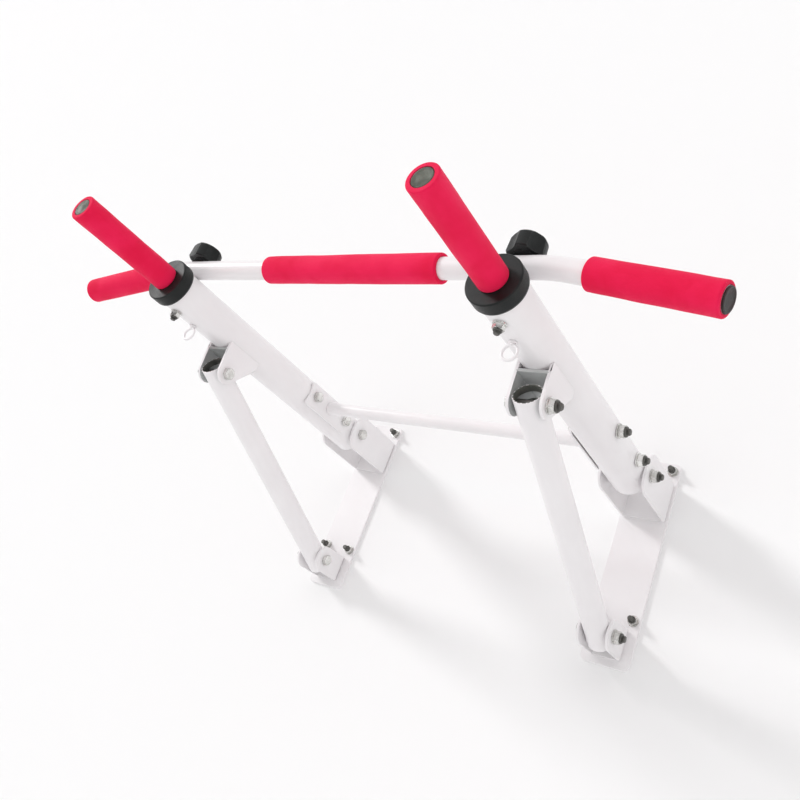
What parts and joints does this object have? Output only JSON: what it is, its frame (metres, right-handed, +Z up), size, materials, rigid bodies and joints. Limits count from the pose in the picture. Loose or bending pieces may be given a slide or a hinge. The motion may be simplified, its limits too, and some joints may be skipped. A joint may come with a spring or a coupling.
{
  "type": "pull up bar",
  "caption": "Wall-mounted pull-up bar with bent foam-gripped ends, parallel foam handles, clamp knobs, and hinged arms with diagonal braces that fold up against the wall.",
  "frame": {"origin": "on the wall plane, midway between the two arms, at the height of the arms' centre lines", "axes": "+Z up, +Y into the wall, +X to the right of a person facing the wall; the pull-up bar runs along X"},
  "size_m": [1.0266, 0.76, 0.3494],
  "materials": {
    "white_powder_coat": "glossy white powder coat",
    "red_foam": "matte closed-cell foam",
    "black_plastic": "satin moulded plastic",
    "plug_plastic": "mottled grey-brown plastic",
    "zinc_steel": "bright zinc plated steel"
  },
  "bodies": {
    "wall_mount": {"wall_plate_left": "white_powder_coat", "arm_bracket_left": "white_powder_coat", "brace_foot_bracket_left": "white_powder_coat", "wall_bolt_left_1": "zinc_steel", "wall_bolt_left_2": "zinc_steel", "wall_bolt_left_3": "zinc_steel", "wall_bolt_left_4": "zinc_steel", "pivot_bolt_left": "zinc_steel", "foot_bolt_left": "zinc_steel", "wall_plate_right": "white_powder_coat", "arm_bracket_right": "white_powder_coat", "brace_foot_bracket_right": "white_powder_coat", "wall_bolt_right_1": "zinc_steel", "wall_bolt_right_2": "zinc_steel", "wall_bolt_right_3": "zinc_steel", "wall_bolt_right_4": "zinc_steel", "pivot_bolt_right": "zinc_steel", "foot_bolt_right": "zinc_steel"},
    "arm_frame": {"arm_tube_left": "white_powder_coat", "brace_head_bracket_left": "white_powder_coat", "tie_plate_left": "white_powder_coat", "eye_bolt_left": "white_powder_coat", "arm_tube_right": "white_powder_coat", "brace_head_bracket_right": "white_powder_coat", "tie_plate_right": "white_powder_coat", "eye_bolt_right": "white_powder_coat", "handle_grip_left": "red_foam", "end_grip_left": "red_foam", "handle_grip_right": "red_foam", "end_grip_right": "red_foam", "arm_collar_left": "black_plastic", "handle_bush_left": "black_plastic", "bar_plug_left": "black_plastic", "arm_collar_right": "black_plastic", "handle_bush_right": "black_plastic", "bar_plug_right": "black_plastic", "handle_plug_left": "plug_plastic", "handle_plug_right": "plug_plastic", "pivot_sleeve_left": "zinc_steel", "handle_tube_left": "zinc_steel", "head_bolt_left": "zinc_steel", "tie_bolt_left_1": "zinc_steel", "tie_bolt_left_2": "zinc_steel", "knob_stud_left": "zinc_steel", "pivot_sleeve_right": "zinc_steel", "handle_tube_right": "zinc_steel", "head_bolt_right": "zinc_steel", "tie_bolt_right_1": "zinc_steel", "tie_bolt_right_2": "zinc_steel", "knob_stud_right": "zinc_steel", "cross_tie": "white_powder_coat", "pull_up_bar": "white_powder_coat", "centre_grip": "red_foam"},
    "brace_left": {"brace_tube_left": "white_powder_coat", "foot_sleeve_left": "zinc_steel"},
    "brace_right": {"brace_tube_right": "white_powder_coat", "foot_sleeve_right": "zinc_steel"},
    "knob_left": {"clamp_knob_left": "black_plastic"},
    "knob_right": {"clamp_knob_right": "black_plastic"}
  },
  "joints": [
    {"name": "arm_fold", "type": "hinge", "parent": "wall_mount", "child": "arm_frame", "pos_m": [0, -0.11, 0], "axis": [-1, 0, 0], "range_deg": [0, 92]},
    {"name": "brace_fold_left", "type": "hinge", "parent": "wall_mount", "child": "brace_left", "pos_m": [-0.275, -0.056, -0.23], "axis": [1, 0, 0], "range_deg": [0, 113]},
    {"name": "brace_fold_right", "type": "hinge", "parent": "wall_mount", "child": "brace_right", "pos_m": [0.275, -0.056, -0.23], "axis": [1, 0, 0], "range_deg": [0, 113]},
    {"name": "knob_turn_left", "type": "hinge", "parent": "arm_frame", "child": "knob_left", "pos_m": [-0.275, -0.558, 0.0589], "axis": [0, 0, 1], "continuous": true},
    {"name": "knob_turn_right", "type": "hinge", "parent": "arm_frame", "child": "knob_right", "pos_m": [0.275, -0.558, 0.0589], "axis": [0, 0, 1], "continuous": true}
  ],
  "couplings": [
    {"joint": "brace_fold_left", "follows": "arm_fold", "ratio": 1.2278},
    {"joint": "brace_fold_right", "follows": "arm_fold", "ratio": 1.2278}
  ]
}
